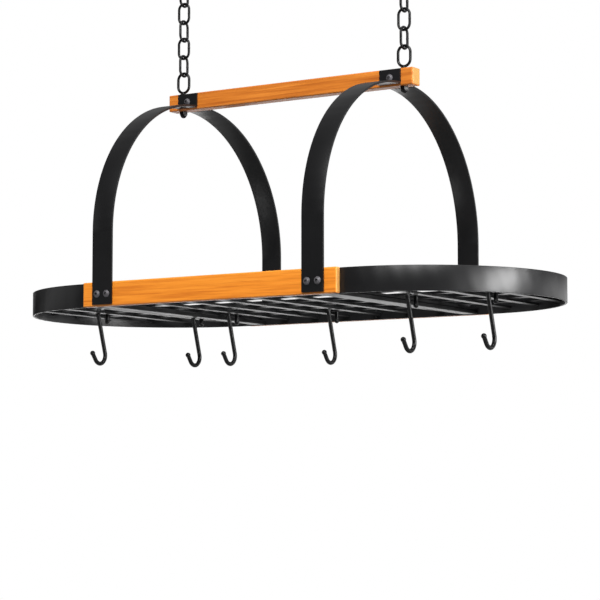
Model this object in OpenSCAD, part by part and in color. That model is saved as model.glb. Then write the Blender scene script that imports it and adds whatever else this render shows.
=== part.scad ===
// Hanging pot rack: an oval steel band with a bar shelf, two wooden side rails,
// two pairs of arched steel straps, a wooden top bar, two chains and six pot hooks.
// Units are millimetres. X runs along the rack, Y to the rear, Z up.
// The origin lies on the ceiling, midway between the two ceiling hooks.

// The one piece to draw, or "all"

/* [Oval band] */
// Length of the band over its rounded ends
rack_length = 840; // [780:10:900]
// Width of the band over its straight sides
band_width = 408; // [380:4:440]
// Height of the band
band_height = 34.3; // [30:0.1:40]
// Thickness of the band steel
band_wall = 3; // [2.5:0.5:4]

/* [Wooden rails] */
// Thickness of each side rail
rail_thickness = 10; // [8:0.5:14]
// Height of each side rail
rail_height = 34.7; // [32:0.1:42]
// How far each rail end stops short of the band's curve
rail_end_margin = 4.5; // [1:0.5:10]
// Radius on the rail edges
rail_edge = 2; // [1:0.25:3]

/* [Arched straps] */
// Width of the strap steel
strap_width = 34; // [28:0.5:38]
// Thickness of the strap steel
strap_thickness = 3; // [2.5:0.5:4]
// Distance between the left and right straps, centre to centre
strap_spacing = 351.4; // [330:0.2:370]
// Height of the strap feet above the band's lower edge
strap_foot = 2.5; // [0:0.5:5]
// Height at which the straight leg turns into the arch
arch_spring = 105.4; // [90:0.1:130]
// How far each arch's centre stands off the middle plane
arch_offset = 7.5; // [0:0.5:15]
// Inner radius of the bend between the arch and its upright tab
tab_bend = 1; // [0.5:0.25:2]
// How far the tab stops below the top of the bar
tab_margin = 1.2; // [0.2:0.2:4]

/* [Top bar] */
// Length of the wooden top bar
bar_length = 423.8; // [410:0.2:440]
// Depth of the top bar, front to rear
bar_depth = 21; // [19:0.5:28]
// Height of the top bar
bar_height = 25; // [24:0.5:34]
// How far the bar's underside lies below the top of the arches
bar_sink = 5.1; // [4:0.1:8]
// Radius on the bar edges
bar_edge = 2.5; // [1:0.25:4]

/* [Bolts and nuts] */
// Thread size of the bolts
bolt_size = 6; // [5:0.5:7]
// Width of the button heads
bolt_head = 10.6; // [10:0.2:12]
// Height of the button heads
bolt_head_height = 3.3; // [2.8:0.1:4]
// Height of the straight rim under each head's dome
bolt_rim = 0.6; // [0.4:0.1:1.2]
// Width across the flats of the hexagon socket in each head
socket_flats = 4; // [3:0.5:5]
// Depth of the hexagon socket
socket_depth = 2; // [1.5:0.1:2.4]
// Distance between the two bolts of a strap foot
bolt_spacing = 16.8; // [14:0.2:20]
// Width across the flats of the nuts
nut_flats = 10; // [9:0.5:11]
// Height of the nuts
nut_height = 5; // [4:0.5:6]
// How far a bolt stands out of its nut
bolt_proud = 1.5; // [0.5:0.5:4]
// Gap round a bolt in the holes it passes through
hole_gap = 0.3; // [0.1:0.05:0.5]
// Gap round a bolt in its nut
thread_gap = 0.1; // [0.05:0.05:0.2]
// Gap between a bolt head and the bend beside it
head_gap = 0.3; // [0.2:0.1:1]

/* [Shelf] */
// Number of short bars, which run front to rear
short_bars = 14; // [13:1:14]
// Number of long bars, which run along the rack
long_bars = 6; // [4:1:8]
// Width of the shelf bars
shelf_bar_width = 12; // [10:0.5:14]
// Thickness of the shelf bars
shelf_bar_thickness = 3.2; // [2.6:0.2:4]
// Height of the short bars' underside above the band's lower edge
shelf_height = 7; // [6.8:0.1:12]
// Gap left for the weld between a bar end and the band
weld_gap = 0.1; // [0.05:0.05:0.3]
// Distance between the two thick cross bars, centre to centre
cross_spacing = 374; // [350:2:380]
// Width of the cross bars
cross_width = 20; // [16:1:24]
// Thickness of the cross bars
cross_thickness = 6.2; // [4:0.2:6.6]

/* [Eye bolts] */
// Distance between the two eye bolts, centre to centre
eye_spacing = 384; // [376:2:390]
// Width of the eye over its wire
eye_width = 24; // [21:0.5:26]
// Wire thickness of the eye
eye_wire = 4; // [3.6:0.2:4.6]
// Height of the chain's pull point above the top bar
eye_rise = 31.25; // [30:0.25:34]
// Diameter of the eye bolt's shank
eye_shank = 6; // [5:0.5:6]
// Diameter of the shoulder that seats on the bar
shoulder_width = 11; // [9:0.5:13]
// Thickness of that shoulder
shoulder_height = 1.5; // [1:0.25:2]
// Height of the hexagon part of the cap nut
cap_hexagon = 5; // [4:0.5:6]
// Width of the cap nut across its flats
cap_flats = 11; // [10.5:0.5:12]
// Radius of the cap nut's dome
cap_dome = 4.8; // [4:0.1:5]
// How far the shank ends short of the cap nut's blind end
cap_end_gap = 0.3; // [0.2:0.1:0.6]

/* [Chain] */
// Wire thickness of the links
link_wire = 3.8; // [3.4:0.1:4.2]
// Distance from link to link
link_pitch = 26.7; // [25:0.1:30]
// Width of a link over its wire
link_width = 22.2; // [20:0.1:24]
// Slack between two linked wires
link_slack = 0.3; // [0.2:0.05:0.4]

/* [Ceiling hooks] */
// Wire thickness of the ceiling hooks
hook_wire = 6; // [5:0.5:7]
// Inner radius of the ceiling hook
hook_bowl = 9; // [8:0.25:11]
// Radius of the bend between the hook and its shank
hook_neck = 6; // [5:0.5:8]
// Distance from the ceiling to the chain's pull point
hook_drop = 38; // [37:0.5:50]
// Angle at which the tip of the ceiling hook ends
hook_tip_angle = 150; // [140:1:160]
// Length of the straight screw shank in the ceiling
screw_length = 26; // [20:1:40]
// Length of the screw's point
screw_point = 5; // [3:0.5:8]
// Diameter of the collar under the ceiling
collar_width = 11; // [9:0.5:14]
// Thickness of that collar
collar_height = 1.6; // [1:0.2:3]

/* [Pot hooks] */
// Wire thickness of the pot hooks
pot_wire = 6.2; // [5:0.2:6.6]
// Centre line radius of the upper curl
curl_radius = 11.3; // [11.3:0.1:13]
// Centre line radius of the lower bowl
bowl_radius = 13; // [12:0.1:14]
// Height between the centres of curl and bowl
bowl_drop = 62.6; // [50:0.2:80]
// How far the bowl's centre lies in front of the curl's centre
bowl_offset = 6.5; // [4:0.1:9]
// Length of the straight end behind the curl
curl_end = 11; // [6:0.5:16]
// Length of the straight arm in front of the bowl
bowl_arm = 11.8; // [6:0.2:16]
// Lean of that arm from upright
arm_lean = 36; // [20:1:45]
// Diameter of the ball on each end
pot_ball = 7.6; // [7:0.2:8.4]
// Slack between a curl and the two edges of the bar it rides on
curl_slack = 0.15; // [0.1:0.05:0.3]
// How far the forged swelling at each bend stands out of the wire
bend_swell = 0.04; // [0.02:0.01:0.2]
// How far the first pot hook hangs to the right of the middle of its bay
pot_1_shift = 13.3; // [-14:0.1:14]
// How far the second pot hook hangs to the right of the middle of its bay
pot_2_shift = -4.2; // [-14:0.1:14]
// How far the third pot hook hangs to the right of the middle of its bay
pot_3_shift = 6.1; // [-14:0.1:14]
// How far the fourth pot hook hangs to the right of the middle of its bay
pot_4_shift = -17.2; // [-17.2:0.1:14]
// How far the fifth pot hook hangs to the right of the middle of its bay
pot_5_shift = -3.2; // [-14:0.1:14]
// How far the sixth pot hook hangs to the right of the middle of its bay
pot_6_shift = 10.3; // [-14:0.1:14]

/* [Hidden] */
$fn = 96;
steel = [0.16, 0.16, 0.17];
dark_steel = [0.22, 0.22, 0.23];
bright_steel = [0.55, 0.55, 0.57];
wood = [0.86, 0.55, 0.25];
straight = rack_length - band_width;
band_r = band_width / 2;
rail_length = straight - 2 * rail_end_margin;
strap_x = strap_spacing / 2;
strap_face = band_r + rail_thickness + strap_thickness;
arch_r = strap_face - arch_offset;
arch_top = arch_spring + arch_r;
bar_bottom = arch_top - bar_sink;
bar_top = bar_bottom + bar_height;
bar_half = bar_depth / 2;
// the bend's centre stands one inner radius off the tab's outer face
bend_y = bar_half + strap_thickness + tab_bend;
arch_lean = asin((bend_y - arch_offset) / (arch_r + tab_bend));
bend_z = arch_spring + (arch_r + tab_bend) * cos(arch_lean);
// the press leaves the tight bend a hair outside the strap's own faces
bend_step = 0.02;
bend_lap = 1;
tab_top = bar_top - tab_margin;
bolt_r = bolt_size / 2;
hole_r = bolt_r + hole_gap;
bolt_z = rail_height / 2;
tab_bolt_z = bend_z + bolt_head / 2 + head_gap;
inner_r = band_r - band_wall;
inner_length = rack_length - 2 * band_wall;
inner_width = band_width - 2 * band_wall;
short_pitch = inner_length / (short_bars + 1);
long_pitch = inner_width / (long_bars + 1);
long_z = shelf_height + shelf_bar_thickness;
shelf_top = long_z + shelf_bar_thickness;
eye_x = eye_spacing / 2;
links = 5;
// height of the band's lower edge, measured from the ceiling
rack_z = -(hook_drop + links * link_pitch + eye_rise + bar_top);
half_slack = link_slack / 2;
eye_r = eye_wire / 2;
eye_arc = eye_width / 2 - eye_r;
eye_z = bar_top + eye_rise + half_slack + eye_r - eye_arc;
eye_foot = bar_top + shoulder_height + eye_r / 2;
eye_low = eye_foot + eye_r / 2 + 0.2 + eye_arc;
shank_r = eye_shank / 2;
shank_end = cap_hexagon + cap_dome / 2 - cap_end_gap;
hook_r = hook_wire / 2;
hook_arc = hook_bowl + hook_r;
hook_z = -hook_drop - half_slack - hook_r + hook_arc;
// the neck bend and the hook meet where their tangents agree
neck_angle = acos(hook_neck / (hook_arc + hook_neck));
neck_z = hook_z + (hook_arc + hook_neck) * sin(neck_angle);
pot_r = pot_wire / 2;
curl_grip = curl_radius - pot_r - curl_slack;
curl_z = shelf_top - sqrt(pow(curl_grip, 2) - pow(shelf_bar_width / 2, 2));
// the shank is the cross tangent of the curl and the bowl
centres = sqrt(pow(bowl_drop, 2) + pow(bowl_offset, 2));
shank_lean = asin((curl_radius + bowl_radius) / centres) - atan(bowl_offset / bowl_drop);

// a hook hangs in the free width of a bay between two short bars
bay_room = (short_pitch - shelf_bar_width) / 2 - pot_ball / 2 - 0.5;
bay_step = (short_bars % 2) / 2;

// ---- helpers ----

module on_rack() {
    translate([0, 0, rack_z]) children();
}

// a flat drawing in X and Y stood up in the plane of X and Z
module upright_x() {
    rotate([90, 0, 0]) children();
}

// a flat drawing in X and Y stood up in the plane of Y and Z
module upright_y() {
    rotate([90, 0, 90]) children();
}

module stadium(r, height) {
    translate([-straight / 2, -r, 0]) cube([straight, 2 * r, height]);
    for (side = [-1, 1])
        translate([side * straight / 2, 0, 0]) cylinder(r = r, h = height);
}

// round bar bent to part of a circle, from one angle to another
module bent_rod(bend, r, from, to) {
    rotate([0, 0, from])
        rotate_extrude(angle = to - from)
            translate([bend, 0]) circle(r = r);
}

// straight round bar in the X and Y plane, from a point along an angle
module straight_rod(start, direction, length, r) {
    translate([start[0], start[1], 0])
        rotate([0, 90, direction]) cylinder(r = r, h = length);
}

// slight forged swelling where a bend runs into the next length of wire, turned along the wire
module swelling(place, along, r) {
    translate([place[0], place[1], 0]) rotate([0, 90, along]) sphere(r = r + bend_swell);
}

// closed oval of round wire: two half circles of radius arc joined by straight sides
module oval_ring(arc, half, r) {
    for (turn = [0, 180])
        rotate([0, 0, turn]) {
            translate([0, half, 0]) bent_rod(arc, r, 0, 180);
            straight_rod([arc, -half], 90, 2 * half, r);
        }
}

// point on a circle about the origin
function on_circle(r, angle) = [r * cos(angle), r * sin(angle)];

// wooden bar with every edge eased, centred on X and Y
module eased_bar(length, depth, height, edge) {
    intersection() {
        translate([-length / 2, 0, height / 2])
            rotate([90, 0, 90]) rounded_slab(depth, height, edge, length);
        rounded_slab(length, depth, edge, height);
        translate([0, depth / 2, height / 2])
            rotate([90, 0, 0]) rounded_slab(length, height, edge, depth);
    }
}

module rounded_slab(width, height, edge, thick) {
    translate([-width / 2 + edge, -height / 2, 0]) cube([width - 2 * edge, height, thick]);
    translate([-width / 2, -height / 2 + edge, 0]) cube([width, height - 2 * edge, thick]);
    for (x = [-1, 1], y = [-1, 1])
        translate([x * (width / 2 - edge), y * (height / 2 - edge), 0])
            cylinder(r = edge, h = thick);
}

// hole along Y through whatever stands there
module cross_hole(x, z, r) {
    translate([x, 0, z]) rotate([90, 0, 0]) cylinder(r = r, h = 2 * strap_face, center = true);
}

module hexagon(flats, height) {
    cylinder(r = flats / 2 / cos(30), h = height, $fn = 6);
}

// ---- band, shelf and rails ----

module band_body() {
    difference() {
        stadium(band_r, band_height);
        translate([0, 0, -1]) stadium(inner_r, band_height + 2);
        for (side = [-1, 1], pair = [-1, 1])
            cross_hole(side * strap_x + pair * bolt_spacing / 2, bolt_z, hole_r);
    }
}

module wood_rail() {
    difference() {
        translate([0, band_r + rail_thickness / 2, 0])
            eased_bar(rail_length, rail_thickness, rail_height, rail_edge);
        for (side = [-1, 1], pair = [-1, 1])
            cross_hole(side * strap_x + pair * bolt_spacing / 2, bolt_z, hole_r);
    }
}

module cross_bar(side) {
    translate([side * cross_spacing / 2 - cross_width / 2, -inner_r + weld_gap,
               shelf_height - cross_thickness])
        cube([cross_width, 2 * (inner_r - weld_gap), cross_thickness]);
}

module short_bar_set() {
    intersection() {
        for (i = [0 : short_bars - 1])
            translate([(i - (short_bars - 1) / 2) * short_pitch - shelf_bar_width / 2,
                       -inner_r, shelf_height])
                cube([shelf_bar_width, 2 * inner_r, shelf_bar_thickness]);
        stadium(inner_r - weld_gap, shelf_top);
    }
}

module long_bar_set() {
    intersection() {
        for (i = [0 : long_bars - 1])
            translate([-inner_length / 2, (i - (long_bars - 1) / 2) * long_pitch
                       - shelf_bar_width / 2, long_z])
                cube([inner_length, shelf_bar_width, shelf_bar_thickness]);
        stadium(inner_r - weld_gap, shelf_top);
    }
}

// ---- arched straps ----

// one rear half arch: leg, quarter turn, sharp bend and tab, drawn flat and stood up
module half_arch() {
    difference() {
        upright_y() {
            translate([strap_face - strap_thickness, strap_foot, -strap_width / 2])
                cube([strap_thickness, arch_spring - strap_foot, strap_width]);
            translate([arch_offset, arch_spring, 0])
                rotate_extrude(angle = 90 - arch_lean)
                    translate([arch_r - strap_thickness, -strap_width / 2])
                        square([strap_thickness, strap_width]);
            translate([bend_y, bend_z, 0])
                rotate([0, 0, 180])
                    rotate_extrude(angle = 90 - arch_lean + bend_lap)
                        translate([tab_bend - bend_step, -strap_width / 2])
                            square([strap_thickness, strap_width]);
            translate([bar_half, bend_z, -strap_width / 2])
                cube([strap_thickness, tab_top - bend_z, strap_width]);
        }
        for (pair = [-1, 1])
            cross_hole(pair * bolt_spacing / 2, bolt_z, hole_r);
        cross_hole(0, tab_bolt_z, hole_r);
    }
}

// ---- top bar ----

module top_bar_body() {
    difference() {
        translate([0, 0, bar_bottom]) eased_bar(bar_length, bar_depth, bar_height, bar_edge);
        for (side = [-1, 1]) {
            cross_hole(side * strap_x, tab_bolt_z, hole_r);
            translate([side * eye_x, 0, bar_bottom - 1])
                cylinder(r = shank_r + hole_gap, h = bar_height + 2);
        }
    }
}

// ---- fasteners ----

// button head bolt along +Y, its head resting on the plane y = 0
module button_bolt(grip) {
    rise = bolt_head_height - bolt_rim;
    dome = (pow(bolt_head / 2, 2) + pow(rise, 2)) / (2 * rise);
    rotate([-90, 0, 0]) {
        difference() {
            intersection() {
                translate([0, 0, dome - bolt_head_height]) sphere(r = dome);
                translate([0, 0, -bolt_head_height])
                    cylinder(r = bolt_head / 2, h = bolt_head_height);
            }
            translate([0, 0, -bolt_head_height - 1])
                hexagon(socket_flats, socket_depth + 1);
        }
        cylinder(r = bolt_r, h = grip + nut_height + bolt_proud);
    }
}

// hexagon nut along +Y, its seat on the plane y = 0
module nut() {
    rotate([-90, 0, 0])
        difference() {
            hexagon(nut_flats, nut_height);
            translate([0, 0, -1]) cylinder(r = bolt_r + thread_gap, h = nut_height + 2);
        }
}

module rail_bolt_set() {
    for (side = [-1, 1], pair = [-1, 1])
        translate([side * strap_x + pair * bolt_spacing / 2, -strap_face, bolt_z])
            button_bolt(strap_thickness + rail_thickness + band_wall);
}

module rail_nut_set() {
    for (side = [-1, 1], pair = [-1, 1])
        translate([side * strap_x + pair * bolt_spacing / 2, -inner_r, bolt_z]) nut();
}

module top_bolt_set() {
    for (side = [-1, 1])
        translate([side * strap_x, -bar_half - strap_thickness, tab_bolt_z])
            button_bolt(bar_depth + 2 * strap_thickness);
}

module top_nut_set() {
    for (side = [-1, 1])
        translate([side * strap_x, bar_half + strap_thickness, tab_bolt_z]) nut();
}

// oval ring standing on a threaded shank
module eye_bolt(side) {
    translate([side * eye_x, 0, 0]) {
        translate([0, 0, (eye_z + eye_low) / 2])
            upright_x() oval_ring(eye_arc, (eye_z - eye_low) / 2, eye_r);
        translate([0, 0, bar_bottom - shank_end])
            cylinder(r = shank_r, h = eye_foot - bar_bottom + shank_end);
        translate([0, 0, eye_foot]) sphere(r = shank_r);
        translate([0, 0, bar_top]) cylinder(r = shoulder_width / 2, h = shoulder_height);
    }
}

module cap_nut(side) {
    translate([side * eye_x, 0, bar_bottom])
        difference() {
            union() {
                translate([0, 0, -cap_hexagon]) hexagon(cap_flats, cap_hexagon);
                translate([0, 0, -cap_hexagon]) sphere(r = cap_dome);
            }
            translate([0, 0, -shank_end - cap_end_gap])
                cylinder(r = shank_r + thread_gap, h = shank_end + cap_end_gap + 1);
            cylinder(r = cap_flats, h = cap_dome);
        }
}

// ---- chain ----

// height of the pull point under a link, counted from the bottom link
function pull_z(n) = -hook_drop - (links - n) * link_pitch;

module oval_link() {
    arc = (link_width - link_wire) / 2;
    oval_ring(arc, (link_pitch + link_slack + link_wire) / 2 - arc, link_wire / 2);
}

// the odd links lie in the plane of Y and Z, the even ones in that of X and Z
module placed_link(side, n) {
    translate([side * eye_x, 0, (pull_z(n - 1) + pull_z(n)) / 2])
        if (n % 2 == 1)
            upright_y() oval_link();
        else
            upright_x() oval_link();
}

module ceiling_hook(side) {
    translate([side * eye_x, 0, 0]) {
        upright_x() {
            translate([0, hook_z, 0]) {
                bent_rod(hook_arc, hook_r, hook_tip_angle - 360, -90);
                bent_rod(hook_arc, hook_r, -90, neck_angle);
                for (joint = [hook_tip_angle, -90, neck_angle])
                    swelling(on_circle(hook_arc, joint), joint + 90, hook_r);
            }
            translate([hook_neck, neck_z, 0])
                bent_rod(hook_neck, hook_r, 180, 180 + neck_angle);
        }
        translate([0, 0, neck_z]) cylinder(r = hook_r, h = screw_length - neck_z);
        translate([0, 0, -collar_height]) cylinder(r = collar_width / 2, h = collar_height);
        translate([0, 0, screw_length]) cylinder(r1 = hook_r, r2 = 0.5, h = screw_point);
    }
}

// ---- pot hooks ----

// S hook drawn round the curl's centre, its bowl opening to the front
module s_hook() {
    shank_length = centres * cos(asin((curl_radius + bowl_radius) / centres));
    bowl = [-bowl_offset, -bowl_drop];
    arm_start = [bowl[0] - bowl_radius * cos(arm_lean), bowl[1] - bowl_radius * sin(arm_lean)];
    arm_end = [arm_start[0] - bowl_arm * sin(arm_lean), arm_start[1] + bowl_arm * cos(arm_lean)];
    shank_start = on_circle(curl_radius, 180 + shank_lean);
    bent_rod(curl_radius, pot_r, 0, 180 + shank_lean);
    straight_rod([curl_radius, 0], -90, curl_end, pot_r);
    translate([curl_radius, -curl_end, 0]) rotate([0, 90, -90]) sphere(r = pot_ball / 2);
    swelling(shank_start, -90 + shank_lean, pot_r);
    straight_rod(shank_start, -90 + shank_lean, shank_length, pot_r);
    swelling(bowl + on_circle(bowl_radius, shank_lean), -90 + shank_lean, pot_r);
    translate([bowl[0], bowl[1], 0])
        bent_rod(bowl_radius, pot_r, -180 + arm_lean, shank_lean);
    swelling(arm_start, 90 + arm_lean, pot_r);
    straight_rod(arm_start, 90 + arm_lean, bowl_arm, pot_r);
    translate([arm_end[0], arm_end[1], 0]) rotate([0, 90, 90 + arm_lean])
        sphere(r = pot_ball / 2);
}

// middle of the bay at a share of the way from the rack's middle to its last bay
function bay_x(share) =
    (round(share * (short_bars - 2) / 2 - bay_step) + bay_step) * short_pitch;

// long bar at a share of the way from the front bar to the rear one
function row_y(share) = (round(share * (long_bars - 1)) - (long_bars - 1) / 2) * long_pitch;

// a pot hook in a bay, on a long bar
module placed_pot_hook(bay_share, shift, row_share) {
    color(steel) on_rack()
        translate([bay_x(bay_share) + max(-bay_room, min(bay_room, shift)), row_y(row_share),
                   curl_z])
            upright_y() s_hook();
}

// ---- pieces ----

module oval_band() {
    color(steel) on_rack() band_body();
}

module front_wood_rail() {
    color(wood) on_rack() mirror([0, 1, 0]) wood_rail();
}

module rear_wood_rail() {
    color(wood) on_rack() wood_rail();
}

module left_cross_bar() {
    color(steel) on_rack() cross_bar(-1);
}

module right_cross_bar() {
    color(steel) on_rack() cross_bar(1);
}

module grid_short_bars() {
    color(dark_steel) on_rack() short_bar_set();
}

module grid_long_bars() {
    color(dark_steel) on_rack() long_bar_set();
}

module left_front_arch() {
    color(steel) on_rack() translate([-strap_x, 0, 0]) mirror([0, 1, 0]) half_arch();
}

module left_rear_arch() {
    color(steel) on_rack() translate([-strap_x, 0, 0]) half_arch();
}

module right_front_arch() {
    color(steel) on_rack() translate([strap_x, 0, 0]) mirror([0, 1, 0]) half_arch();
}

module right_rear_arch() {
    color(steel) on_rack() translate([strap_x, 0, 0]) half_arch();
}

module top_wood_bar() {
    color(wood) on_rack() top_bar_body();
}

module front_rail_bolts() {
    color(bright_steel) on_rack() rail_bolt_set();
}

module rear_rail_bolts() {
    color(bright_steel) on_rack() mirror([0, 1, 0]) rail_bolt_set();
}

module front_rail_nuts() {
    color(bright_steel) on_rack() rail_nut_set();
}

module rear_rail_nuts() {
    color(bright_steel) on_rack() mirror([0, 1, 0]) rail_nut_set();
}

module top_bolts() {
    color(bright_steel) on_rack() top_bolt_set();
}

module top_nuts() {
    color(bright_steel) on_rack() top_nut_set();
}

module left_eye_bolt() {
    color(steel) on_rack() eye_bolt(-1);
}

module right_eye_bolt() {
    color(steel) on_rack() eye_bolt(1);
}

module cap_nuts() {
    color(steel) on_rack() {
        cap_nut(-1);
        cap_nut(1);
    }
}

module left_ceiling_hook() {
    color(steel) ceiling_hook(-1);
}

module right_ceiling_hook() {
    color(steel) ceiling_hook(1);
}

oval_band();
front_wood_rail();
rear_wood_rail();
left_cross_bar();
right_cross_bar();
grid_short_bars();
grid_long_bars();
left_front_arch();
left_rear_arch();
right_front_arch();
right_rear_arch();
top_wood_bar();
front_rail_bolts();
rear_rail_bolts();
front_rail_nuts();
rear_rail_nuts();
top_bolts();
top_nuts();
left_eye_bolt();
right_eye_bolt();
cap_nuts();
color(steel) placed_link(-1, 1);  // left_link_1
color(steel) placed_link(-1, 2);  // left_link_2
color(steel) placed_link(-1, 3);  // left_link_3
color(steel) placed_link(-1, 4);  // left_link_4
color(steel) placed_link(-1, 5);  // left_link_5
color(steel) placed_link(1, 1);  // right_link_1
color(steel) placed_link(1, 2);  // right_link_2
color(steel) placed_link(1, 3);  // right_link_3
color(steel) placed_link(1, 4);  // right_link_4
color(steel) placed_link(1, 5);  // right_link_5
left_ceiling_hook();
right_ceiling_hook();
placed_pot_hook(-1, pot_1_shift, 0.4);  // pot_hook_1
placed_pot_hook(-2 / 3, pot_2_shift, 0.8);  // pot_hook_2
placed_pot_hook(-0.5, pot_3_shift, 0.8);  // pot_hook_3
placed_pot_hook(0, pot_4_shift, 1);  // pot_hook_4
placed_pot_hook(2 / 3, pot_5_shift, 0.4);  // pot_hook_5
placed_pot_hook(1, pot_6_shift, 0.4);  // pot_hook_6
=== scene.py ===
# %% [markdown]
# # A hanging pot rack
# The rack is an oval band of black steel with a shelf of flat bars in it. Two wooden rails
# clad its straight sides, two arches of strap steel carry it from a wooden top bar, and two
# chains hang that bar from the ceiling. Six loose hooks ride on the shelf bars.
#
# The exact shapes come from a CAD model, loaded as a fixed frame. They could be drawn again
# here, but then steel and wood could drift apart from the joints. So Blender only adds what
# CAD can't: the finishes, the small marks of making, the light and the camera.

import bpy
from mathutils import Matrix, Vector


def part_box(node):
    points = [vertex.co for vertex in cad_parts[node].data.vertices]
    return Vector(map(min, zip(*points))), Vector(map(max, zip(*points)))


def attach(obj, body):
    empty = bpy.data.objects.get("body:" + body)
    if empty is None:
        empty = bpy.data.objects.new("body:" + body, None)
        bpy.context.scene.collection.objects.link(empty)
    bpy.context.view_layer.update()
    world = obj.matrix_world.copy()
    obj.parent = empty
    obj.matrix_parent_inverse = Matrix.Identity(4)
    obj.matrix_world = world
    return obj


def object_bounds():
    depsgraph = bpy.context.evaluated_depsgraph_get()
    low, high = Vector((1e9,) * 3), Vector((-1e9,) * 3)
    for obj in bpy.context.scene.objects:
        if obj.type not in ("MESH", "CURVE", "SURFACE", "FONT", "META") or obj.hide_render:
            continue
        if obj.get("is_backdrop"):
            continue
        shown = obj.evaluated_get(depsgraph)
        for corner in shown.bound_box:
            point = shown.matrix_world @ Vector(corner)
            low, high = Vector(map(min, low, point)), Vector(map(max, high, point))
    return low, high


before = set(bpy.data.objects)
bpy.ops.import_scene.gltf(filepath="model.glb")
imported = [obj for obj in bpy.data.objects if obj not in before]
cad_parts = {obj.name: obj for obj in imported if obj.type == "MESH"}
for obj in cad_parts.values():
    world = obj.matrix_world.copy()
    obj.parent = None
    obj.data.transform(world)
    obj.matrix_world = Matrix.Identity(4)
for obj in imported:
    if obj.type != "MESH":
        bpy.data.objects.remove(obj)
cad_low, cad_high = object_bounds()

# %% [markdown]
# ## Tools that every step needs
# Blender's own modules do the work: bpy for the scene, bmesh for meshes built point by point
# and mathutils for vectors. All lengths here are metres, so a small name for a millimetre
# keeps real sizes readable.

# %% Modules and units
import math

import bmesh
import bpy
from mathutils import Vector

MM = 0.001
ALONG, UP = (1, 0, 0), (0, 0, 1)
scene = bpy.context.scene
scene.view_settings.view_transform = "Standard"
print("one millimetre is", MM, "scene units")

# %% [markdown]
# ## Colours
# A colour is given as an sRGB hex value, as on a paint chart. Shaders count
# light in linear values. Each colour could be converted by hand, but one function does it
# for all of them, so the paint chart's value stays readable where it is used.


# %% Hex colour to linear light
def linear(hex_colour):
    values = []
    for start in (0, 2, 4):
        part = int(hex_colour[start:start + 2], 16) / 255
        low = part <= 0.04045
        values.append(part / 12.92 if low else ((part + 0.055) / 1.055) ** 2.4)
    return (*values, 1.0)


WHITE = linear("ffffff")
print("mid grey is", [round(v, 3) for v in linear("808080")[:3]], "in linear light")

# %% [markdown]
# ## Building a material
# A material is a small network of nodes. It could be wired by hand in the shader editor. A
# helper that adds a node, sets its options and links it to the nodes before it keeps the
# same network short in code. Textures read object coordinates, which here are metres in the
# rack's own frame, so a scale in millimetres stays true on every piece.


# %% Add a node with its settings and links
def set_inputs(tree, node, **inputs):
    """Link or set a node's inputs: by name, or by number where the name is _0, _1, ..."""
    for name, value in inputs.items():
        key = int(name[1:]) if name[0] == "_" else name.replace("_", " ")
        if isinstance(value, bpy.types.NodeSocket):
            tree.links.new(value, node.inputs[key])
        else:
            node.inputs[key].default_value = value


def add_node(tree, kind, settings=None, **inputs):
    node = tree.nodes.new(kind)
    for name, value in (settings or {}).items():
        setattr(node, name, value)
    set_inputs(tree, node, **inputs)
    return node


def new_finish(name):
    finish = bpy.data.materials.new(name)
    finish.use_nodes = True
    tree = finish.node_tree
    tree.nodes.clear()
    surface = add_node(tree, "ShaderNodeBsdfPrincipled")
    add_node(tree, "ShaderNodeOutputMaterial", Surface=surface.outputs[0])
    place = add_node(tree, "ShaderNodeTexCoord").outputs["Object"]
    return finish, tree, surface, place


def per_mm(size_mm):
    """Texture scale whose features are about this many millimetres across."""
    return 1 / (size_mm * MM)


print("a 2 mm pattern has scale", per_mm(2))

# %% [markdown]
# ## Words for common nodes
# Every finish below is made from the same few steps: a noise of a real size, a sum, a change
# of range, a mix of two colours and a bump. The steps could be written out each time. As
# small functions they read like a recipe, and a number keeps its meaning by its place.


# %% Noise, sums, ranges, mixes and bumps
def noise(tree, place, size_mm, detail, roughness=0.5):
    return add_node(tree, "ShaderNodeTexNoise", Vector=place, Scale=per_mm(size_mm),
                    Detail=detail, Roughness=roughness)


def calculate(tree, operation, first, second=0.0, third=0.0):
    return add_node(tree, "ShaderNodeMath", {"operation": operation}, _0=first, _1=second,
                    _2=third).outputs[0]


def remap(tree, value, from_low, from_high, to_low, to_high):
    return add_node(tree, "ShaderNodeMapRange", Value=value, From_Min=from_low,
                    From_Max=from_high, To_Min=to_low, To_Max=to_high).outputs["Result"]


def mix_colours(tree, share, first, second):
    """The first colour where share is 0, the second where it is 1."""
    return add_node(tree, "ShaderNodeMix", {"data_type": "RGBA"}, Factor=share, _6=first,
                    _7=second).outputs["Result"]


def colour_ramp(tree, value, stops):
    """Colours at set places from 0 to 1, given in order as (place, hex colour)."""
    node = add_node(tree, "ShaderNodeValToRGB", Fac=value)
    elements = node.color_ramp.elements
    elements[0].position, elements[1].position = stops[0][0], stops[-1][0]
    for place, _ in stops[1:-1]:
        elements.new(place)
    for element, (_, hex_colour) in zip(elements, stops):
        element.color = linear(hex_colour)
    return node.outputs["Color"]


def bumps(tree, height, height_mm, strength):
    return add_node(tree, "ShaderNodeBump", Strength=strength, Distance=height_mm * MM,
                    Height=height).outputs["Normal"]


print("six words for common nodes")

# %% [markdown]
# ## Powder-coated steel
# The band, straps and shelf bars are mild steel, sprayed with black polyester powder and
# baked. The melted powder gives a satin skin with a faint orange peel about 1.6 mm across
# and fine grit on top. Real grit is too fine to show, so it is drawn 0.5 mm across. A single
# black with one roughness could stand for the coat, but a long reflection would then look
# like plastic sheet, so the roughness wanders a little over 60 mm and the peel and grit are
# bumps. Under the coat nothing metallic shows, so the surface is a dielectric. The shelf
# bars and cross bars wear the same coat, but they take a slightly deeper black and a weaker
# shine than the band: painted shade for the shade deep inside the rack.

# %% Satin black powder coat
GRIT_MM, GRIT_SHARE = 0.5, 0.25
DRIFT_MM, ROUGHNESS_DRIFT = 60, 0.015


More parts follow.
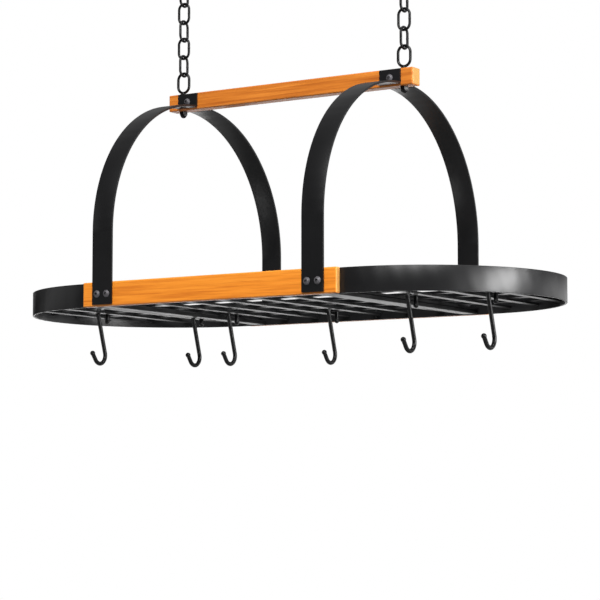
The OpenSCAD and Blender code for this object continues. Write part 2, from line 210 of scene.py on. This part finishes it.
def powder_coat(name, dark, light, roughness, peel_mm, peel_height_mm, shine):
    finish, tree, surface, place = new_finish(name)
    peel = noise(tree, place, peel_mm, detail=2.0).outputs["Fac"]
    grit = noise(tree, place, GRIT_MM, detail=2.0).outputs["Fac"]
    drift = noise(tree, place, DRIFT_MM, detail=3.0).outputs["Fac"]
    gloss = remap(tree, drift, 0.3, 0.7, roughness - ROUGHNESS_DRIFT,
                  roughness + ROUGHNESS_DRIFT)
    shade = mix_colours(tree, drift, linear(dark), linear(light))
    skin = calculate(tree, "MULTIPLY_ADD", grit, GRIT_SHARE, peel)
    set_inputs(tree, surface, Base_Color=shade, Roughness=gloss,
               Normal=bumps(tree, skin, peel_height_mm, strength=0.35),
               Specular_IOR_Level=shine, IOR=1.5)
    return finish


steel_coat = powder_coat("powder_coated_steel_satin_black", "101011", "171718",
                         roughness=0.33, peel_mm=1.6, peel_height_mm=0.05, shine=0.34)
# A darker copy of the same coat: painted shade for the shelf and cross bars inside the band.
shelf_coat_painted_shade = powder_coat("powder_coated_shelf_bars_painted_shade_black", "0a0a0b", "0f0f10",
                         roughness=0.34, peel_mm=1.6, peel_height_mm=0.05, shine=0.3)
print("made", steel_coat.name, "and", shelf_coat_painted_shade.name)

# %% [markdown]
# ## Coated wire
# Chain links, hooks and eye bolts are bent from round wire. They could share the flat
# steel's finish, but the coat runs smoother on a curved wire than on a flat bar. So they
# take the same recipe with finer, flatter peel, and both wires are a deeper black.

# %% Wire finishes
wire_coat = powder_coat("powder_coated_wire_gloss_black", "070708", "0c0c0d",
                        roughness=0.3, peel_mm=1.2, peel_height_mm=0.03, shine=0.26)
chain_coat = powder_coat("black_plated_chain_wire", "060607", "0b0b0c",
                         roughness=0.34, peel_mm=1.0, peel_height_mm=0.03, shine=0.22)
print("made", wire_coat.name, "and", chain_coat.name)

# %% [markdown]
# ## Black oxide bolts
# Button head screws are turned from steel and blackened in a hot bath. The oxide is a very
# thin skin on metal, so it is partly metallic and dark grey, with blotches about 3 mm across
# and a fine grain, which is drawn 0.6 mm across because the real one is too fine to show. A
# flat dark grey would make the heads look like painted dots. The hexagon socket lies deep in
# shade, and that shade is painted into the colour. It could be a painted disc, but an ambient
# occlusion node finds the place by itself: it measures how closed in the surface is within
# 3 mm, and the colour darkens there as painted shade.

# %% Blackened bolt steel
BLOTCH_MM, GRAIN_MM, SOCKET_REACH_MM = 3, 0.6, 3


def black_oxide(name):
    finish, tree, surface, place = new_finish(name)
    blotch = noise(tree, place, BLOTCH_MM, detail=4.0).outputs["Fac"]
    shade = colour_ramp(tree, blotch, [(0.35, "4a484b"), (0.7, "5e5c60")])
    # Painted shade: the colour darkens to near black where the surface is closed in, as in
    # the sockets.
    openness = add_node(tree, "ShaderNodeAmbientOcclusion", {"samples": 8},
                        Distance=SOCKET_REACH_MM * MM).outputs["AO"]
    unshaded_share = remap(tree, openness, 0.35, 0.85, 0.08, 1.0)
    grain = noise(tree, place, GRAIN_MM, detail=2.0).outputs["Fac"]
    set_inputs(tree, surface, Base_Color=mix_colours(tree, unshaded_share, linear("0a0a0a"), shade),
               Normal=bumps(tree, grain, 0.03, strength=0.25), Metallic=0.3, Roughness=0.58)
    return finish


bolt_oxide_and_socket_shade = black_oxide("black_oxide_screw_steel_painted_socket_shade")
print("made", bolt_oxide_and_socket_shade.name)

# %% [markdown]
# ## Growth rings
# The rails and the top bar are a honey-stained hardwood such as alder or beech. A tree grows
# in tubes round its heart, and a sawn bar cuts through them. Stripes could be drawn along
# the sides, but they would stop at the ends. Rings round an axis along the bar give both at
# once: long streaks on the sides and arcs on the ends. A wave texture draws about three
# rings in each unit of its scale, so a unit of 28 mm sets them 9 mm apart. Real ones are 2
# to 5 mm apart and would blur, so these are drawn coarser. They sway by up to 9 mm and are
# stretched along the bar.

# %% Rings round the heart of the tree
RING_UNIT_MM, BEND_MM, SWAY_MM = 28, 22, 9
RING_STRETCH = 0.06


def stretched(tree, place, share, heart=(0.0, 0.0, 0.0)):
    """Coordinates in which a pattern runs 1 / share times longer along the bar."""
    return add_node(tree, "ShaderNodeMapping", Vector=place, Location=heart,
                    Scale=(share, 1.0, 1.0)).outputs[0]


def growth_rings(tree, place, heart):
    along = stretched(tree, place, RING_STRETCH, heart)
    bend = noise(tree, along, BEND_MM, detail=2.0).outputs["Color"]
    sway = add_node(tree, "ShaderNodeVectorMath", {"operation": "SCALE"}, Vector=bend,
                    Scale=SWAY_MM * MM).outputs[0]
    swayed = add_node(tree, "ShaderNodeVectorMath", {"operation": "ADD"}, _0=along,
                      _1=sway).outputs[0]
    pattern = {"wave_type": "RINGS", "rings_direction": "X", "wave_profile": "SAW"}
    return add_node(tree, "ShaderNodeTexWave", pattern, Vector=swayed,
                    Scale=per_mm(RING_UNIT_MM), Distortion=1.4, Detail=3.0,
                    Detail_Scale=1.5).outputs["Fac"]


print("rings are drawn", round(RING_UNIT_MM * 2 * math.pi / 20, 1), "mm apart")

# %% [markdown]
# ## Streaks, pores and cut ends
# Fine streaks 3 mm wide run along the wood, with dark pores on top. Real pores are 0.1 to
# 0.2 mm wide, too fine to show, so they are drawn 0.8 mm wide and 50 mm long. A sawn end
# drinks more stain and scatters light. It could be a separate face with its own material,
# but the mesh is fixed, so the surface's own direction picks it out: where the surface
# faces along the bar, the colour is toned towards a duller brown.

# %% Streaks, pores and end grain
STREAK_MM, STREAK_STRETCH = 3.2, 0.035
PORE_MM, PORE_STRETCH = 0.8, 0.016


def wood_streaks(tree, place):
    return noise(tree, stretched(tree, place, STREAK_STRETCH), STREAK_MM, detail=5.0,
                 roughness=0.55).outputs["Fac"]


def wood_pores(tree, place):
    return noise(tree, stretched(tree, place, PORE_STRETCH), PORE_MM,
                 detail=3.0).outputs["Fac"]


def cut_end(tree):
    """How far a surface faces along the bar, from 0 on its sides to 0.75 on its ends."""
    facing = add_node(tree, "ShaderNodeTexCoord").outputs["Normal"]
    parts = add_node(tree, "ShaderNodeSeparateXYZ", Vector=facing)
    endwise = calculate(tree, "ABSOLUTE", parts.outputs["X"])
    return remap(tree, endwise, 0.8, 0.95, 0.0, 0.75)


print("pores are drawn", PORE_MM, "mm wide and", PORE_MM / PORE_STRETCH, "mm long")

# %% [markdown]
# ## Lacquered hardwood
# The bars are planed, eased at the edges, stained and lacquered. Rings and streaks are added
# and read as a colour from light to dark, the pores darken it, and the ends are toned. The
# lacquer could be a second skin of mesh, but the shader's own thin clear coat does the same
# without a new piece. The rails face the front lamp and look lighter than the top bar, so
# the one stain is made twice. The top bar's copy is darker, a painted shade, and each copy
# has the tree's heart in another place.


# %% Honey-stained wood
def honey_wood(name, light, middle, dark, end_tone, heart):
    finish, tree, surface, place = new_finish(name)
    pores = wood_pores(tree, place)
    blend = calculate(tree, "MULTIPLY_ADD", growth_rings(tree, place, heart), 0.24,
                      wood_streaks(tree, place))
    stain = colour_ramp(tree, blend, [(0.38, light), (0.64, middle), (1.0, dark)])
    specks = remap(tree, pores, 0.56, 0.72, 0.0, 0.6)
    speckled = mix_colours(tree, specks, stain, linear(dark))
    toned = mix_colours(tree, cut_end(tree), speckled, linear(end_tone))
    set_inputs(tree, surface, Base_Color=toned, Roughness=0.42,
               Normal=bumps(tree, pores, 0.08, strength=0.25), Specular_IOR_Level=0.3,
               Coat_Weight=0.08, Coat_Roughness=0.22)
    return finish


rail_wood = honey_wood("lacquered_honey_hardwood_rails", "f09834", "e78a29", "bb5f16",
                       end_tone="a8834a", heart=(0.0, 0.03, 0.49))
# The top bar's darker copy of the stain is painted shade.
bar_wood_painted_shade = honey_wood("lacquered_honey_hardwood_bar_painted_shade", "d8822f", "c67124", "994a10",
                      end_tone="a0834b", heart=(0.0, 0.035, 0.27))
print("made", rail_wood.name, "and", bar_wood_painted_shade.name)

# %% [markdown]
# ## Dressing the solids
# Each object of the frame is one real piece, or a set of equal ones. A finish could be set
# piece by piece, but the names already say what a piece is made of, so one function reads
# the name and picks the wood, the wire, the bolts' oxide or the flat steel.


# %% Finish for each solid
def finish_for(name):
    # The top bar takes the darker copy of the stain, which is painted shade.
    if name == "top_wood_bar":
        return bar_wood_painted_shade
    if "wood" in name:
        return rail_wood
    if "link" in name:
        return chain_coat
    if "eye_bolt" in name or "hook" in name or "cap_nut" in name:
        return wire_coat
    if "bolts" in name or "nuts" in name:
        return bolt_oxide_and_socket_shade
    # The shelf and cross bars take the darker copy of the coat, which is painted shade.
    if "grid" in name or "cross" in name:
        return shelf_coat_painted_shade
    return steel_coat


for name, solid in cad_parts.items():
    solid.data.materials.clear()
    solid.data.materials.append(finish_for(name))
print("dressed", len(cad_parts), "solids")

# %% [markdown]
# ## Broken edges
# A real cut bar has a slightly broken edge, which catches the light as a thin line. It could
# be cut into the mesh, but the mesh is exact and stays as it is. A bevel modifier rounds
# only what is shown, by 1.1 mm on the bars and straps and 0.5 mm on the band. It cuts edges
# sharper than 40 degrees, so the bent faces stay smooth. The weld modifier first joins the
# points that the file format splits.

# %% Broken edges on flat steel
SPLIT_POINTS = 0.002 * MM
SHARP_ANGLE = math.radians(40)


def break_edges(solid, width):
    weld = solid.modifiers.new("join_split_points", "WELD")
    weld.merge_threshold = SPLIT_POINTS
    bevel = solid.modifiers.new("broken_edge", "BEVEL")
    bevel.width = width
    bevel.segments = 3
    bevel.limit_method = "ANGLE"
    bevel.angle_limit = SHARP_ANGLE
    bevel.use_clamp_overlap = True
    bevel.harden_normals = True


edge_widths = {"oval_band": 0.5 * MM}
for name in ("left_cross_bar", "right_cross_bar", "grid_short_bars", "grid_long_bars",
             "left_front_arch", "left_rear_arch", "right_front_arch", "right_rear_arch"):
    edge_widths[name] = 1.1 * MM
for name, width in edge_widths.items():
    break_edges(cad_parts[name], width)
print("broke the edges of", len(edge_widths), "flat steel pieces")

# %% [markdown]
# ## Mesh pieces that ride along
# Threads, weld beads and seams are small marks of making. They could be bumps in a material,
# but a bump has no outline, so they are meshes built point by point. Each rides on the body
# that carries it, so it moves with the rack or with its link.


# %% Turn points and faces into a riding piece
def make_piece(name, points, faces, finish, body):
    mesh = bpy.data.meshes.new(name)
    mesh.from_pydata(points, [], faces)
    mesh.update()
    work = bmesh.new()
    work.from_mesh(mesh)
    bmesh.ops.recalc_face_normals(work, faces=work.faces)
    work.to_mesh(mesh)
    work.free()
    for face in mesh.polygons:
        face.use_smooth = True
    mesh.materials.append(finish)
    piece = bpy.data.objects.new(name, mesh)
    scene.collection.objects.link(piece)
    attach(piece, body)


def joined(parts):
    """Many (points, faces) pairs as one, so that equal marks make one piece."""
    points, faces = [], []
    for part_points, part_faces in parts:
        first = len(points)
        points += part_points
        faces += [tuple(first + i for i in face) for face in part_faces]
    return points, faces


print("a piece is points, faces, a finish and a body")

# %% [markdown]
# ## Threads
# A screw thread is a ridge that winds along a shank. Rings stacked on the shank would look
# much the same from afar, but a real thread climbs, and its start shows at the end. So it is
# swept as a strip with three points across: foot, crest, foot. The feet lie a little inside
# the shank, and the crest fades in and out over half a turn.

# %% Sweep a thread along a shank
POINTS_PER_TURN = 20
FOOT_SHARE, FOOT_RISE = 0.32, -0.05 * MM


def thread_points(start, axis, radius, length, pitch, height):
    axis, across = Vector(axis).normalized(), Vector(ALONG)
    beside = axis.cross(across)
    steps = max(2, int(round(length / pitch * POINTS_PER_TURN)))
    half_turn = POINTS_PER_TURN * 0.5
    points, faces = [], []
    for step in range(steps + 1):
        turn = 2 * math.pi * step / POINTS_PER_TURN
        climb = min(length, pitch * step / POINTS_PER_TURN)
        fade = min(1.0, step / half_turn, (steps - step) / half_turn + 0.02)
        out = across * math.cos(turn) + beside * math.sin(turn)
        for shift, rise in ((-FOOT_SHARE, FOOT_RISE), (0.0, height * fade),
                            (FOOT_SHARE, FOOT_RISE)):
            along = min(max(climb + shift * pitch, 0.0), length)
            points.append(Vector(start) + axis * along + out * (radius + rise))
    for step in range(steps):
        low, high = step * 3, step * 3 + 3
        faces.append((low, low + 1, high + 1, high))
        faces.append((low + 1, low + 2, high + 2, high + 1))
    return points, faces


print("a thread has", POINTS_PER_TURN, "points in a turn")

# %% [markdown]
# ## Ceiling hooks
# The two ceiling hooks are wood screws at their upper end. A wood screw's thread is coarse
# and tall: it climbs 2.2 mm each turn and stands 0.35 mm off the 6 mm shank. It starts 2 mm
# above the ceiling's face and leaves the point bare. Both threads could be one piece, but
# each hook could be unscrewed by itself, so each has its own.

# %% Threads of the ceiling hooks
SHANK_RADIUS = 3 * MM
HOOK_OFFSET = 192 * MM
thread_start, thread_length = 2 * MM, 24 * MM
for side, x in (("left", -HOOK_OFFSET), ("right", HOOK_OFFSET)):
    coarse = thread_points((x, 0, thread_start), UP, SHANK_RADIUS, thread_length,
                           pitch=2.2 * MM, height=0.35 * MM)
    make_piece(side + "_hook_thread", *coarse, wire_coat, "ceiling_hooks")
print("threads end", round((thread_start + thread_length) / MM), "mm above the ceiling face")

# %% [markdown]
# ## Finding separate solids
# Equal bolts come as one object of the frame, and so do equal shelf bars. Their places could
# be typed in from the drawing, but a number typed twice can come to differ. So the mesh is
# asked: points that are joined by edges belong together, and each such island is one bolt
# or one bar, with its own box.


# %% Boxes of a node's separate solids
def solids_of(node):
    """Boxes of a node's separate solids, as (lowest, highest) corners."""
    work = bmesh.new()
    work.from_mesh(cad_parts[node].data)
    bmesh.ops.remove_doubles(work, verts=work.verts, dist=SPLIT_POINTS)
    left, boxes = set(work.verts), []
    while left:
        island, reach = [], [left.pop()]
        while reach:
            point = reach.pop()
            island.append(point.co.copy())
            for edge in point.link_edges:
                other = edge.other_vert(point)
                if other in left:
                    left.remove(other)
                    reach.append(other)
        boxes.append((Vector(min(p[i] for p in island) for i in range(3)),
                      Vector(max(p[i] for p in island) for i in range(3))))
    work.free()
    return boxes


print("rail bolts in front:", len(solids_of("front_rail_bolts")))

# %% [markdown]
# ## Bolt ends
# Each bolt's end stands 1.5 mm proud of its nut. A 6 mm machine screw has a fine thread that
# climbs 1 mm each turn. The whole shank could be threaded, but only this bare end can be
# seen. The nut nearest to a bolt tells which way the bolt points and where its end starts.

# %% Threads of the bolt ends
BARE_END = 1.45 * MM
parts = []
for bolts, nuts in (("front_rail_bolts", "front_rail_nuts"),
                    ("rear_rail_bolts", "rear_rail_nuts"), ("top_bolts", "top_nuts")):
    for bolt_low, bolt_high in solids_of(bolts):
        middle = (bolt_low + bolt_high) / 2
        near = min(solids_of(nuts), key=lambda b: abs((b[0].x + b[1].x) / 2 - middle.x))
        inward = 1 if (near[0].y + near[1].y) / 2 > middle.y else -1
        face = near[1].y if inward > 0 else near[0].y
        parts.append(thread_points((middle.x, face, middle.z), (0, inward, 0), SHANK_RADIUS,
                                   BARE_END, pitch=1 * MM, height=0.12 * MM))
make_piece("bolt_end_threads", *joined(parts), bolt_oxide_and_socket_shade, "rack")
print("threaded", len(parts), "bolt ends")

# %% [markdown]
# ## Weld beads
# The shelf bars are welded to the band at both ends. A plain round fillet would look moulded.
# A real bead is a row of small overlapping ripples, so it is a short tube whose thickness
# swells every 1.3 mm and tapers at both ends.

# %% A rippled bead between two points
BEAD_SPOKES = 8
BEAD_STEP, RIPPLE = 0.33 * MM, 1.3 * MM


def band_of_faces(row, spokes):
    """Faces between one ring of points and the next."""
    faces = []
    for spoke in range(spokes):
        low, turn = row * spokes + spoke, row * spokes + (spoke + 1) % spokes
        faces.append((low, turn, turn + spokes, low + spokes))
    return faces


def bead_points(start, end, radius, up=UP):
    start, end = Vector(start), Vector(end)
    along = end - start
    length = along.length
    along.normalize()
    side = along.cross(Vector(up)).normalized()
    lift = side.cross(along)
    steps = max(6, int(length / BEAD_STEP))
    points, faces = [], []
    for step in range(steps + 1):
        share = step / steps
        ripple = 1 + 0.1 * math.sin(share * length / RIPPLE * 2 * math.pi)
        taper = math.sqrt(max(0.0, 1 - (2 * share - 1) ** 8))
        size = radius * ripple * (0.25 + 0.75 * taper)
        for spoke in range(BEAD_SPOKES):
            angle = 2 * math.pi * spoke / BEAD_SPOKES
            reach = side * math.cos(angle) + lift * math.sin(angle)
            points.append(start + along * (share * length) + reach * size)
    for step in range(steps):
        faces += band_of_faces(step, BEAD_SPOKES)
    faces.append(tuple(range(BEAD_SPOKES)))
    faces.append(tuple(steps * BEAD_SPOKES + i for i in reversed(range(BEAD_SPOKES))))
    return points, faces


print("a ripple every", RIPPLE / MM, "mm")

# %% [markdown]
# ## Where the band's wall is
# A bead lies in the corner between a bar and the band, so it must know where the wall is.
# The wall could be found by shooting rays at the mesh. The band is simpler than that: two
# straight sides joined by two half circles, so its box and its 3 mm wall give every point.

# %% The inside of the band
band_low, band_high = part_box("oval_band")
BAND_WALL = 3 * MM
inner_radius = (band_high.y - band_low.y) / 2 - BAND_WALL
end_centre = band_high.x - inner_radius - BAND_WALL


def wall_y(x, side):
    past = max(0.0, abs(x) - end_centre)
    return side * math.sqrt(max(0.0, inner_radius ** 2 - past ** 2))


def wall_x(y, side):
    return side * (end_centre + math.sqrt(max(0.0, inner_radius ** 2 - y ** 2)))


print("the band's ends bend round", round(inner_radius / MM, 1), "mm inside")

# %% [markdown]
# ## Beads on the shelf bars
# Each end of each bar has two beads, one above and one below. The short bars mostly meet the
# straight sides. The long bars end on the round part, so each bead there runs from where one
# edge of the bar meets the wall to where the other edge does. A straight bead at the bar's
# middle would leave a gap on that curve.

# %% Beads where the bars meet the band
BEAD_RADIUS, BAR_EDGE = 1.0 * MM, 1.5 * MM
parts = []
for low, high in solids_of("grid_short_bars"):
    first, last = low.x + BAR_EDGE, high.x - BAR_EDGE
    for side in (-1, 1):
        for z in (low.z, high.z):
            parts.append(bead_points((first, wall_y(first, side), z),
                                     (last, wall_y(last, side), z), BEAD_RADIUS))
print("beads on the short bars:", len(parts))
for low, high in solids_of("grid_long_bars"):
    first, last = low.y + BAR_EDGE, high.y - BAR_EDGE
    for side in (-1, 1):
        for z in (low.z, high.z):
            parts.append(bead_points((wall_x(first, side), first, z),
                                     (wall_x(last, side), last, z), BEAD_RADIUS))
make_piece("shelf_weld_beads", *joined(parts), steel_coat, "rack")
print("beads in all:", len(parts))

# %% [markdown]
# ## Welds of the cross bars and the band
# The two thick cross bars are welded to the band along their lower corners, with a stouter
# bead. The band itself is one strip whose ends meet behind the rear rail. Its butt weld
# could be left out, as the rail hides it outside, but it shows inside, as an upright bead
# from edge to edge.

# %% Cross bar welds and the band's butt weld
CROSS_BEAD, CROSS_EDGE, CROSS_RISE = 1.2 * MM, 2 * MM, 0.6 * MM
parts = []
for name in ("left_cross_bar", "right_cross_bar"):
    low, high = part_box(name)
    first, last, z = low.x + CROSS_EDGE, high.x - CROSS_EDGE, low.z + CROSS_RISE
    for side in (-1, 1):
        parts.append(bead_points((first, wall_y(first, side), z),
                                 (last, wall_y(last, side), z), CROSS_BEAD))

SEAM_X, SEAM_BEAD, SEAM_SUNK, SEAM_MARGIN = 24 * MM, 1.3 * MM, 0.5 * MM, 1.5 * MM
seam_y = wall_y(SEAM_X, 1) + SEAM_SUNK
parts.append(bead_points((SEAM_X, seam_y, band_low.z + SEAM_MARGIN),
                         (SEAM_X, seam_y, band_high.z - SEAM_MARGIN), SEAM_BEAD, up=ALONG))
make_piece("cross_bar_and_band_welds", *joined(parts), steel_coat, "rack")
print("cross bar and band welds:", len(parts))

# %% [markdown]
# ## Seams in the chain
# A link is bent from a length of wire and butt welded on one of its straight sides. The weld
# leaves a slight ring. A dark line in the material could hint at it, but the ring changes
# the wire's outline, so it is a short sleeve that swells 0.2 mm out of the wire.

# %% Weld ring on a link
RING_SPOKES, RING_ROWS = 20, 6
RING_SWELL, RING_HALF, RING_SUNK = 0.2 * MM, 1.4 * MM, 0.02 * MM


def ring_points(centre, wire_radius):
    points, faces = [], []
    for row in range(RING_ROWS + 1):
        share = row / RING_ROWS * 2 - 1
        size = wire_radius + RING_SWELL * (1 - share ** 2) - RING_SUNK
        for spoke in range(RING_SPOKES):
            angle = 2 * math.pi * spoke / RING_SPOKES
            points.append(Vector((centre[0] + size * math.cos(angle),
                                  centre[1] + size * math.sin(angle),
                                  centre[2] + share * RING_HALF)))
    for row in range(RING_ROWS):
        faces += band_of_faces(row, RING_SPOKES)
    return points, faces


print("a seam swells", RING_SWELL / MM, "mm out of the wire")

# %% [markdown]
# ## One seam for each link
# The links turn a quarter from one to the next, so odd links have their straight sides front
# and rear and even ones have them left and right. The three middle links of a chain move as
# one body. The lowest and the highest link each have their own.

# %% Seams on the chain links
WIRE_RADIUS = 1.9 * MM
link_bodies = {"1": "_bottom_link", "2": "_chain", "3": "_chain", "4": "_chain",
               "5": "_top_link"}
for side in ("left", "right"):
    for number, tail in link_bodies.items():
        low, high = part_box(side + "_link_" + number)
        middle = (low + high) / 2
        if int(number) % 2:
            spot = (middle.x, high.y - WIRE_RADIUS, middle.z)
        else:
            spot = (high.x - WIRE_RADIUS, middle.y, middle.z)
        make_piece(side + "_link_" + number + "_seam", *ring_points(spot, WIRE_RADIUS),
                   chain_coat, side + tail)
print("seams on", 2 * len(link_bodies), "links")

# %% [markdown]
# ## White background
# The rack hangs in a white studio. A world of full white would show as white, but it would
# also flood the black steel with light. So the world looks at what kind of ray asks. The
# camera sees pure white. Mirrored and transmitted rays see white where a screen would stand,
# behind the rack and from just above the horizon down. For light, the world is a dim sky,
# brighter above and to the rear, so the underside of the shelf stays almost black.


# %% Rays that see the background
def mirrored_rays(tree, rays):
    return calculate(tree, "MAXIMUM", rays.outputs["Is Glossy Ray"],
                     rays.outputs["Is Transmission Ray"])


SCREEN_DROP = 0.15
world = bpy.data.worlds.new("white_studio")
scene.world = world
world.use_nodes = True
tree = world.node_tree
tree.nodes.clear()
rays = add_node(tree, "ShaderNodeLightPath")
toward = add_node(tree, "ShaderNodeSeparateXYZ",
                  Vector=add_node(tree, "ShaderNodeTexCoord").outputs["Generated"])
sky = remap(tree, toward.outputs["Z"], 0.12, 0.6, 0.012, 0.4)
rearward = remap(tree, toward.outputs["Y"], -0.2, 0.6, 0.35, 1.0)
sky_light = add_node(tree, "ShaderNodeBackground", Color=WHITE,
                     Strength=calculate(tree, "MULTIPLY", sky, rearward))
behind = remap(tree, toward.outputs["Y"], 0.5, 0.75, 0.0, 1.0)
off_level = calculate(tree, "ABSOLUTE",
                      calculate(tree, "ADD", toward.outputs["Z"], SCREEN_DROP))
level = remap(tree, off_level, 0.2, 0.35, 1.0, 0.0)
screen = calculate(tree, "MULTIPLY", behind, level)
screen_seen = calculate(tree, "MULTIPLY", mirrored_rays(tree, rays), screen)
sees_white = calculate(tree, "MAXIMUM", rays.outputs["Is Camera Ray"], screen_seen)
white = add_node(tree, "ShaderNodeBackground", Color=WHITE, Strength=1.0)
choice = add_node(tree, "ShaderNodeMixShader", Fac=sees_white, _1=sky_light.outputs[0],
                  _2=white.outputs[0])
add_node(tree, "ShaderNodeOutputWorld", Surface=choice.outputs[0])
print("white to the camera, a dim sky to the light")

# %% [markdown]
# ## Floor paint
# The floor lies well below the rack and takes its shadow. A truly white floor would throw
# light up at the rack's underside, so the paint is mid grey for that bounce, and a glow that
# only camera rays see lifts it to white. Mirrored rays see about a third of that glow.

# %% Pale floor paint
MOTTLE_MM = 400
GLOW, GLOW_IN_MIRRORS = 0.94, 0.3


def pale_floor():
    finish = bpy.data.materials.new("matt_white_floor_paint")
    finish.use_nodes = True
    tree = finish.node_tree
    tree.nodes.clear()
    rays = add_node(tree, "ShaderNodeLightPath")
    place = add_node(tree, "ShaderNodeTexCoord").outputs["Object"]
    mottle = noise(tree, place, MOTTLE_MM, detail=2.0).outputs["Fac"]
    shade = mix_colours(tree, mottle, linear("6c6c6c"), linear("727272"))
    paint = add_node(tree, "ShaderNodeBsdfDiffuse", Color=shade, Roughness=0.5)
    glow = add_node(tree, "ShaderNodeEmission", Color=linear("f7f7f7"), Strength=GLOW)
    lifted = add_node(tree, "ShaderNodeAddShader", _0=paint.outputs[0], _1=glow.outputs[0])
    softened = calculate(tree, "MULTIPLY", mirrored_rays(tree, rays), GLOW_IN_MIRRORS)
    shown = calculate(tree, "MAXIMUM", rays.outputs["Is Camera Ray"], softened)
    choice = add_node(tree, "ShaderNodeMixShader", Fac=shown, _1=paint.outputs[0],
                      _2=lifted.outputs[0])
    add_node(tree, "ShaderNodeOutputMaterial", Surface=choice.outputs[0])
    return finish


floor_paint = pale_floor()
print("made", floor_paint.name)

# %% [markdown]
# ## Floor
# The floor could be a curved backdrop, but the camera looks up past it, so one flat square
# does. It is 16 m wide and 2.1 m below the ceiling, near where a kitchen floor would be, and
# is marked as staging, because it isn't part of the rack.

# %% Lay the floor
HALF_FLOOR, FLOOR_HEIGHT = 8.0, -2.1
corners = [(x * HALF_FLOOR, y * HALF_FLOOR, FLOOR_HEIGHT)
           for x, y in ((-1, -1), (1, -1), (1, 1), (-1, 1))]
floor_mesh = bpy.data.meshes.new("floor")
floor_mesh.from_pydata(corners, [], [(0, 1, 2, 3)])
floor_mesh.materials.append(floor_paint)
floor = bpy.data.objects.new("floor", floor_mesh)
scene.collection.objects.link(floor)
floor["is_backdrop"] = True
print("floor at", FLOOR_HEIGHT, "m")

# %% [markdown]
# ## Lamps
# Bare bulbs would draw hard dots on the satin steel, so all the lamps are soft boxes, whose
# wide faces draw soft gleams. The front one lights the wood. The strong one at the right end
# draws the broad pale gleam down the curved end of the band and the thin lines down the
# rounded edges of the straps, and a weak neighbour on each side softens that gleam's ends.
# A low strip behind draws the fine pale lines under the shelf bars. The left, top and low
# front boxes only lift the shadows.

# %% Soft boxes
RACK_MIDDLE, BAND_END = (0.0, 0.0, -0.42), (0.35, 0.0, -0.5)


def soft_box(name, place, target, size, power):
    lamp = bpy.data.lights.new(name, "AREA")
    lamp.shape = "RECTANGLE"
    lamp.size, lamp.size_y = size
    lamp.energy = power
    holder = bpy.data.objects.new(name, lamp)
    holder.location = place
    aim = Vector(target) - Vector(place)
    holder.rotation_euler = aim.to_track_quat("-Z", "Y").to_euler()
    holder.visible_camera = False
    scene.collection.objects.link(holder)


# name, place in metres, target, width and height in metres, power in watts
soft_boxes = (
    ("front_soft_box", (1.2, -2.7, 1.7), RACK_MIDDLE, (2.4, 1.6), 192),
    ("right_soft_box", (2.9, 0.28, -0.3), BAND_END, (1.15, 1.4), 126),
    ("right_front_soft_box", (2.9, -0.7, -0.3), BAND_END, (0.8, 1.4), 12),
    ("right_rear_soft_box", (1.7, 2.6, -0.3), RACK_MIDDLE, (0.8, 0.8), 1.5),
    ("rear_horizon_strip", (-1.7, 2.6, -0.85), RACK_MIDDLE, (1.6, 0.25), 3.2),
    ("left_soft_box", (-2.6, -1.1, -0.2), RACK_MIDDLE, (2.2, 1.4), 5),
    ("top_soft_box", (1.2, 0.6, 2.1), RACK_MIDDLE, (1.6, 1.4), 40),
    ("low_front_soft_box", (-1.7, -1.3, -1.8), RACK_MIDDLE, (1.2, 0.6), 7),
)
for box in soft_boxes:
    soft_box(*box)
print(len(soft_boxes), "soft boxes")

# %% [markdown]
# ## Camera
# The camera stands below the rack, to its right, and looks up a little: 32.8 degrees round
# from the front and 5 degrees up, with a long lens from 3.2 metres. It could be placed by
# eye, but a small error in the angle bends the oval. These figures come from fitting the
# band's oval, the rails and the top bar to the photograph.

# %% Place the camera
lens = bpy.data.cameras.new("camera")
lens.sensor_width = 36.0
lens.lens = 131.353
camera = bpy.data.objects.new("camera", lens)
camera.location = (1.7237, -2.6443, -0.79985)
camera.rotation_euler = (math.radians(90 + 5.042), 0.0, math.radians(32.844))
scene.collection.objects.link(camera)
scene.camera = camera
print("camera at", [round(v, 3) for v in camera.location])

# %% [markdown]
# ## Finish
# The box of the dressed rack is set against that of the bare solids, and the difference is
# printed, to show that nothing grew.

# %% Compare the boxes
low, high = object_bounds()
grown = [round((a - b) / MM, 2) for a, b in zip(high - low, cad_high - cad_low)]
print("grew by", grown, "mm")
